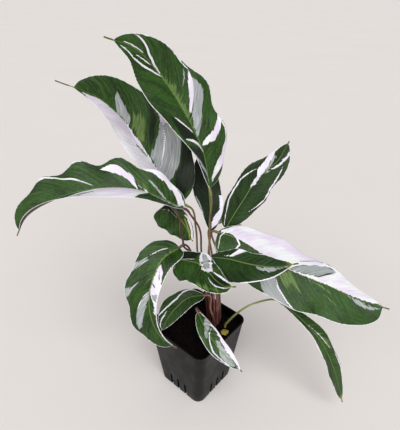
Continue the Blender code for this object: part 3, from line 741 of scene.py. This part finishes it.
frontLeaf = dict(smallLeaf,
    rib=((-24, -7, 202), (-12, -11, 203), (2, -22, 207), (11, -38, 210), (19, -53, 211), (27, -64, 214),
         (36, -72, 221)),
    face=((-0.3, -0.4, 0.9), (-0.1, -0.5, 0.9)),
    wide=(13, 26), belly=(0.35, 0.24), full=(0.5, 0.45), drip=0.06, fold=(17, 12),
    waves=((1.5, 3, 0.2), (2, 3, 0.6)),
    root=(0, -1), stalk=((-2, -1, 175),), tint=0.85, rim=0.35,
    marks=(
        ("darkAndShade", 0, (0, -110), (0, 10), (14, -15), (24, -30), (26, -110)),
        ("milk", 0.6, (2, 75), (1, 35), (5, 3), (14, -17), (24, -27)),
        ("light", 0, (60, 95), (72, 85), (85, 62), (72, 62)),
        ("darkAndShade", 0, (56, 7), (60, -15), (75, -45), (92, -90), (85, 10), (72, 25)),
        ("white", 0, (28, -110), (36, -110), (45, -80), (57, -30), (52, 5), (44, 16), (33, -2), (28, -50)),
        ("milk", 0, (30, -90), (42, -70), (50, -25), (45, 5), (36, -10)),
        ("green", 0.45, (32, -25), (37, -10)),
        ("green", 0.35, (38, 2), (42, 5)),
        ("white", 0.7, (59, 18), (67, 30), (75, 37), (83, 28), (93, 15)),
        ("white", 0.9, (57, -30), (70, -55), (83, -78), (97, -100)),
        ("yellow", 0, (93, -110), (93, 100), (110, 100), (110, -110)),
    ),
)
makeLeaf("front", frontLeaf)

lowerLeftLeaf = dict(usualLeaf,
    rib=((-20, -9, 219), (-37, -24, 214), (-49, -42, 189), (-49, -50, 157), (-36, -52, 124), (-22, -53, 112)),
    face=((0, -0.5, 0.8), (-0.2, -0.8, 0.5), (-0.1, -1, 0.2)),
    wide=(14, 26), belly=(0.15, 0.38), full=(0.1, 0.4), waves=((1.5, 3, 0.2), (2, 4, 0.6)),
    root=(-1, -1), stalk=((0, 3, 180), (-5, 1, 199)), tint=0.93, darkAndShadeShare=0.15, rim=0.45, tone="maroon",
    marks=(
        ("light", 0.6, (5, 10), (20, 0), (42, 0)),
        ("light", 0.4, (29, 3), (38, 28)),
        ("light", 0.4, (25, 0), (33, 25)),
        ("white", 0.5, (7, 33), (14, 43), (20, 58)),
        ("milk", 0, (19, 58), (24, 85), (27, 110), (34, 110), (31, 93), (24, 62), (21, 50)),
        ("white", 0.35, (21, 50), (27, 75), (33, 100)),
        ("milk", 0, (34, 43), (38, 60), (41, 80), (42, 110), (48, 110), (45, 80), (40, 64)),
        ("milk", 0, (40, 0), (43, 12), (52, 48), (60, 70), (70, 80), (69, 55), (61, 35), (54, 18), (46, 0)),
        ("white", 0.4, (42, 8), (50, 40), (60, 70)),
        ("white", 0, (20, -15), (24, -62), (30, -80), (36, -110), (58, -110), (60, -65), (50, -62), (45, -25),
         (41, -3), (30, -5)),
        ("milk", 0, (43, -30), (42, -82), (48, -88), (47, -40)),
        ("milk", 0.6, (24, -30), (31, -60)),
        ("green", 0.5, (35, -12), (37, -40)),
        ("white", 0.6, (58, -95), (75, -90), (95, -90)),
    ),
)
makeLeaf("lowerLeft", lowerLeftLeaf)

lowLeftLeaf = dict(smallLeaf,
    rib=((8, -6, 148), (-9, -12, 150), (-28, -18, 134), (-43, -24, 106)),
    face=((0, -0.5, 0.8), (-0.3, -0.8, 0.5)),
    wide=(12, 16), belly=(0.45, 0.58), waves=((1, 3, 0.2), (1, 3, 0.6)),
    root=(1, -2), bundled=False, stalk=((16, -4, 125),), tint=0.16, darkAndShadeShare=0.1,
    marks=(
        ("white", 0.9, (6, 95), (21, 88), (29, 73), (40, 50), (56, 48), (70, 70), (80, 100)),
        ("white", 0.7, (62, 36), (73, 42), (87, 62), (97, 90)),
    ),
)
makeLeaf("lowLeft", lowLeftLeaf)

lowFrontLeaf = dict(smallLeaf,
    rib=((1, -10, 124), (8, -24, 118), (22, -44, 108), (52, -62, 85)),
    face=((0, -0.5, 0.9), (0, -0.8, 0.6)),
    wide=(11, 11.5), belly=(0.5, 0.45), waves=((1, 3, 0.2), (1, 3, 0.6)),
    root=(0, -2), bundled=False, stalk=((7, -1, 110),), tint=0.29, rim=0.5,
    marks=(
        ("white", 0, (0, -120), (2, -90), (25, -85), (48, -75), (66, -45), (80, -40), (97, 0), (100, -120)),
        ("milk", 0, (10, -95), (20, -95), (29, -30), (39, 25), (38, 50), (30, 40), (18, -10)),
        ("milk", 0, (46, -30), (52, -50), (64, -42), (78, -40), (92, 0), (83, 80), (70, 55), (60, 25)),
        ("white", 0.8, (29, -60), (34, -5), (42, 30), (54, 65), (65, 72), (83, 85)),
    ),
)
makeLeaf("lowFront", lowFrontLeaf)

droopingRightLeaf = dict(usualLeaf,
    rib=((98, -18, 148), (118, -26, 134), (145, -34, 105), (167, -44, 63), (183, -52, 16)),
    face=((0.1, -0.5, 0.9), (0.5, -0.6, 0.6), (0.6, -0.8, 0.2)),
    wide=(12, 12.5), belly=(0.5, 0.68), full=(0.3, 0.35), drip=0.04, waves=((1, 3, 0.2), (1.5, 4, 0.1)),
    root=(4, -2), bundled=False, stalk=((39, -2, 102), (50, -6, 122), (68, -10, 141)), tint=0.58, rim=0.3,
    tone="green",
    marks=(
        ("light", 0, (28, -10), (36, -40), (50, -75), (46, -30)),
        ("white", 0.8, (13, 95), (28, 88), (38, 88), (48, 95)),
        ("white", 0.35, (24, -10), (35, -27), (42, -34), (54, -65)),
        ("white", 0.5, (54, -85), (68, -90), (85, -95)),
        ("yellow", 0, (93, -110), (93, 100), (110, 100), (110, -110)),
    ),
)
makeLeaf("droopingRight", droopingRightLeaf)

backLeaf = dict(smallLeaf,
    rib=((18, 30, 224), (27, 38, 225), (45, 44, 216), (63, 48, 204)),
    face=((0, 0.3, 1), (0.3, 0.3, 0.9)),
    wide=(13, 13), belly=(0.45, 0.45), drip=0.08, waves=((1, 3, 0.2), (1, 3, 0.6)),
    root=(0, 2), stalk=((16, 22, 190),), tint=0.8, rim=0.3,
    marks=(
        ("white", 1, (25, -5), (40, -50), (52, -100)),
        ("white", 0.9, (30, 5), (42, 40), (55, 95)),
        ("milk", 0, (10, 0), (20, 50), (30, 110), (15, 110), (5, 40)),
    ),
)
makeLeaf("back", backLeaf)


# Dry sheath: a withered yellow scale, curled round the drooping leaf's stalk

drySheath = dict(usualLeaf,
    rib=((33.4, -3.8, 90.3), (34.2, -8.4, 92.4), (36.6, -13.9, 90.6)),
    face=((0, -0.4, 0.9), (0.2, -0.8, 0.5)),
    wide=(5.5, 5.5), belly=(0.5, 0.5), full=(0.4, 0.4), drip=0.02, fold=(-25, -25), arch=(0, 0),
    waves=((0.4, 2, 0.1), (0.4, 3, 0.6)), marks=(), tint=0.3, cells=(40, 24),
    light=srgb(206, 190, 84), dark=srgb(140, 112, 44), spot=srgb(92, 62, 30), roughness=0.62,
)


def dryMaterial(look):
    m = Finish("dry_scale")
    where = m.uvMap("veins")
    fibres = m.grain(m.stretched(where, (0.25, 2.6, 1)), 1.0, 3.0, 0.6)
    blotch = m.grain(where, 0.35, 3.0)
    colour = m.layered(look["light"], (m.step(fibres, 0.35, 0.65), look["dark"]),
                       (m.step(blotch, 0.55, 0.7, 0.0, 0.8), look["spot"]))
    m.relief(fibres, 0.7, 0.0003)
    return m.finish(colour, look["roughness"])


makeBlade("dry", drySheath, [dryMaterial(drySheath)] * 2, node="dry_sheath")
print("dry sheath")


# Pot: thin charcoal plastic, tapered, with a bead at the rim and upright slots at its foot

pot = dict(
    height=100, rimSide=90, baseSide=69, corner=10.5, wall=1.4, floor=2, footRound=1, rimRound=0.3,
    bead=0.6, beadHeight=2.5, slotWidth=3, slotHeight=22, slotReach=8, slotPitch=12,
    softEdge=0.25, arcSteps=12, flatSteps=8,
    dark=srgb(7, 6, 6), light=srgb(14, 13, 13), dust=srgb(68, 63, 61), roughness=0.42, specular=0.17,
)


def potSide(z):
    return pot["baseSide"] + (pot["rimSide"] - 2 * pot["bead"] - pot["baseSide"]) * z / pot["height"]


def squareSpot(turn, side, corner):
    # A point of a square with rounded corners; turn runs from 0 to 4, a corner and a flat side each.
    part = (turn - int(turn)) * (pot["arcSteps"] + pot["flatSteps"])
    middle = side / 2 - corner
    angle = math.pi / 2 * min(part / pot["arcSteps"], 1)
    x = middle + corner * math.cos(angle)
    y = middle + corner * math.sin(angle)
    if part > pot["arcSteps"]:
        x -= 2 * middle * (part - pot["arcSteps"]) / pot["flatSteps"]
    for _ in range(int(turn) % 4):
        x, y = -y, x
    return x, y


def potMaterial():
    m = Finish("pot_plastic")
    where = m.objectSpace()
    flow = m.grain(m.stretched(where, (1, 1, 0.12)), 90.0, 3.0)
    haze = m.grain(where, 38.0, 4.0, 0.6)
    specks = m.grain(where, 1400.0, 2.0)
    high = m.step(m.parts(where)[2], 0.06, 0.1)  # more dust from 60 mm up
    dusty = m.times(m.step(specks, 0.6, 0.72, 0.0, 0.35), m.timesPlus(high, 0.6, 0.25))
    colour = m.layered(pot["dark"], (m.step(haze, 0.35, 0.75), pot["light"]), (dusty, pot["dust"]))
    m.relief(m.timesPlus(flow, 0.7, m.times(specks, 0.3)), 0.35, 0.0002)
    gloss = m.step(haze, 0.3, 0.7, pot["roughness"] - 0.06, pot["roughness"] + 0.1)
    return m.finish(colour, gloss, pot["specular"])


def makePot():
    high, bead, wall = pot["height"], pot["height"] - pot["beadHeight"], 2 * pot["wall"]
    foot, corner, proud, soft = pot["footRound"], pot["corner"], pot["bead"], pot["rimRound"]
    levels = [  # side, corner and height of each ring, up the outside and down the inside
        (pot["baseSide"] - 2 * foot, corner - foot, 0),
        (pot["baseSide"] - 0.6 * foot, corner - 0.3 * foot, 0.3 * foot),
        (pot["baseSide"], corner, foot),
        *[(potSide(z), corner, z) for z in (6, 14, 20, 40, 60, 80, bead - 1, bead)],
        (potSide(bead) + 2 * proud, corner + proud, bead + proud),
        (pot["rimSide"], corner + proud, high - soft),
        (pot["rimSide"] - 2 * soft, corner + proud - soft, high),
        *[(potSide(z) - wall, corner - pot["wall"], z) for z in (high, 60, 20, pot["floor"])],
    ]
    steps = pot["arcSteps"] + pot["flatSteps"]
    bm = bmesh.new()
    bmesh.ops.create_circle(bm, segments=4 * steps, radius=1)
    turnLayer = bm.verts.layers.float.new("turn")
    for i, vert in enumerate(bm.verts):
        vert[turnLayer] = i / steps
    ring = list(bm.edges)
    bmesh.ops.edgeloop_fill(bm, edges=ring)
    for i, (side, bend, z) in enumerate(levels):
        if i:
            ring = only(bmesh.ops.extrude_edge_only(bm, edges=ring)["geom"], bmesh.types.BMEdge)
        for vert in {v for e in ring for v in e.verts}:
            vert.co = Vector((*squareSpot(vert[turnLayer], side, bend), z)) * mm
    bmesh.ops.edgeloop_fill(bm, edges=ring)
    piece = finishPiece("pot_shell", bm, [potMaterial()], ["pot"], turn=0)
    slots = bmesh.new()
    for turn in range(4):
        for tick in (-1, 0, 1):
            spot = Matrix.Translation(Vector((pot["baseSide"] / 2, tick * pot["slotPitch"], 0)) * mm)
            size = Matrix.Diagonal((2 * pot["slotReach"] * mm, pot["slotWidth"] * mm, 2 * pot["slotHeight"] * mm, 1))
            bmesh.ops.create_cube(slots, size=1, matrix=Matrix.Rotation(turn * math.pi / 2, 4, "Z") @ spot @ size)
    cutter = addObject("slots", meshOf("slots", slots))
    cut = piece.modifiers.new("slots", "BOOLEAN")
    cut.operation = "DIFFERENCE"
    cut.object = cutter
    bpy.context.view_layer.update()
    whole = bpy.data.meshes.new_from_object(piece.evaluated_get(bpy.context.evaluated_depsgraph_get()))
    piece.modifiers.clear()
    piece.data = whole
    bpy.data.objects.remove(cutter)
    bevel = piece.modifiers.new("edges", "BEVEL")
    bevel.width = pot["softEdge"] * mm
    bevel.segments = 2
    bevel.limit_method = "ANGLE"
    bevel.angle_limit = math.radians(50)
    whole.set_sharp_from_angle(angle=math.radians(35))
    print("pot")


makePot()


# Soil: one body with a crumbly top, and loose crumbs fused on it

soil = dict(
    top=88, relief=1.5, clearance=0.3, cells=120, crumbs=420, crumbSize=1.9, seed=4,
    dark=srgb(8, 5, 5), brown=srgb(26, 16, 14), pale=srgb(66, 48, 40), roughness=0.95, specular=0.12,
)


def soilHeight(x, y):
    # The part's own waves, with crumbs of two sizes on them.
    coarse = math.sin(310 * x + 1) * math.cos(270 * y + 2) + math.sin(190 * (x + y))
    fine = math.sin(830 * x - 400 * y) * math.cos(760 * y + 350 * x + 1)
    crumb = noise.noise(Vector((x, y, 0)) * 330) * 0.9 + noise.noise(Vector((x, y, 7)) * 900) * 0.45
    return (soil["top"] + soil["relief"] * (0.3 * coarse + 0.4 * fine) + crumb) * mm


def soilMaterial():
    m = Finish("soil_crumb")
    where = m.objectSpace()
    coarse = m.grain(where, 260.0, 5.0, 0.65)
    fine = m.grain(where, 1100.0, 3.0)
    colour = m.layered(soil["dark"], (m.step(coarse, 0.4, 0.7), soil["brown"]),
                       (m.step(fine, 0.66, 0.74, 0.0, 0.6), soil["pale"]))
    m.relief(m.calc("ADD", coarse, m.times(fine, 0.5)), 0.9, 0.0008)
    return m.finish(colour, soil["roughness"], soil["specular"])


def makeSoil():
    gap = 2 * (pot["wall"] + soil["clearance"])
    corner = (pot["corner"] - pot["wall"] - soil["clearance"]) * mm
    half = (potSide(soil["top"] - 3) - gap) / 2 * mm
    low = pot["floor"] + soil["clearance"]
    lowHalf = (potSide(low) - gap) / 2 * mm
    bm = bmesh.new()
    bmesh.ops.create_grid(bm, x_segments=soil["cells"], y_segments=soil["cells"], size=half)
    inner = half - corner
    for vert in bm.verts:
        x, y = vert.co.x, vert.co.y
        over = Vector((max(abs(x) - inner, 0), max(abs(y) - inner, 0)))
        if over.x > 0 and over.y > 0:
            over *= max(over) / over.length
            x = math.copysign(inner + over.x, x)
            y = math.copysign(inner + over.y, y)
        vert.co = (x, y, soilHeight(x, y))
    made = bmesh.ops.extrude_edge_only(bm, edges=[e for e in bm.edges if e.is_boundary])["geom"]
    for vert in only(made, bmesh.types.BMVert):
        vert.co.x *= lowHalf / half
        vert.co.y *= lowHalf / half
        vert.co.z = low * mm
    bmesh.ops.edgeloop_fill(bm, edges=only(made, bmesh.types.BMEdge))
    dice = random.Random(soil["seed"])
    for _ in range(soil["crumbs"]):
        x, y = (dice.uniform(-1, 1) * (half - 1.5 * mm) for _ in range(2))
        if abs(x) > inner and abs(y) > inner:
            continue
        size = dice.uniform(0.5, 1.0) ** 2 * soil["crumbSize"] * mm
        squash = Matrix.Diagonal((size, size * dice.uniform(0.5, 1), size * dice.uniform(0.4, 0.8), 1))
        spin = Matrix.Rotation(dice.uniform(0, 6), 4, "Z") @ Matrix.Rotation(dice.uniform(-0.6, 0.6), 4, "X")
        spot = Matrix.Translation((x, y, soilHeight(x, y) + size * 0.15))
        bmesh.ops.create_icosphere(bm, subdivisions=1, radius=1, matrix=spot @ spin @ squash)
    finishPiece("soil_body", bm, [soilMaterial()], ["soil"], turn=0)
    print("soil")


makeSoil()


# Floor, light and camera

studio = dict(
    floor=srgb(225, 220, 217), floorSize=20, paler=1.06, roughness=0.9, specular=0.05,
    sky=srgb(250, 247, 247), world=0.42, sunAngle=50,
    key=((0.2, -0.8, 0.95), 1.95), fill=((-0.8, -0.8, 0.6), 0.85),  # where each light comes from, and its power
)
camera = dict(
    spot=(-0.264, -0.2275, 0.4675), yaw=49.5, pitch=31.4, roll=0.9, focal=391, frameHeight=430,
)


def makeFloor():
    bm = bmesh.new()
    bmesh.ops.create_grid(bm, x_segments=1, y_segments=1, size=studio["floorSize"])
    floor = addObject("floor", meshOf("floor", bm))
    m = Finish("floor_pale")
    patches = m.grain(m.objectSpace(), 3.0, 4.0)
    colour = m.layered(studio["floor"], (patches, scaled(studio["floor"], studio["paler"])))
    floor.data.materials.append(m.finish(colour, studio["roughness"], studio["specular"]))


def makeLight(name):
    # A soft light from far off, from a direction given as the camera sees it.
    source, power = studio[name]
    lamp = bpy.data.lights.new(name, "SUN")
    lamp.angle = math.radians(studio["sunAngle"])
    lamp.energy = power
    source = Matrix.Rotation(plantTurn, 3, "Z") @ Vector(source)
    addObject(name, lamp).rotation_euler = source.to_track_quat("Z", "Y").to_euler()


def makeWorld():
    world = bpy.data.worlds.new("studio")
    world.use_nodes = True
    sky = world.node_tree.nodes["Background"]
    sky.inputs["Color"].default_value = studio["sky"]
    sky.inputs["Strength"].default_value = studio["world"]
    bpy.context.scene.world = world
    bpy.context.scene.view_settings.view_transform = "Standard"


def makeCamera():
    yaw, pitch, roll = (math.radians(camera[key]) for key in ("yaw", "pitch", "roll"))
    forward = Vector((math.sin(yaw) * math.cos(pitch), math.cos(yaw) * math.cos(pitch), -math.sin(pitch)))
    level = Vector((math.cos(yaw), -math.sin(yaw), 0))
    right = level * math.cos(roll) + level.cross(forward) * math.sin(roll)
    lens = bpy.data.cameras.new("photo")
    lens.lens = camera["focal"] / camera["frameHeight"] * lens.sensor_width
    lens.clip_start = 0.01
    viewer = addObject("photo", lens)
    turned = Matrix((right, right.cross(forward), -forward)).transposed().to_4x4()
    viewer.matrix_world = Matrix.Translation(camera["spot"]) @ turned
    bpy.context.scene.camera = viewer


makeFloor()
makeLight("key")
makeLight("fill")
makeWorld()
makeCamera()
print("floor, light and camera")
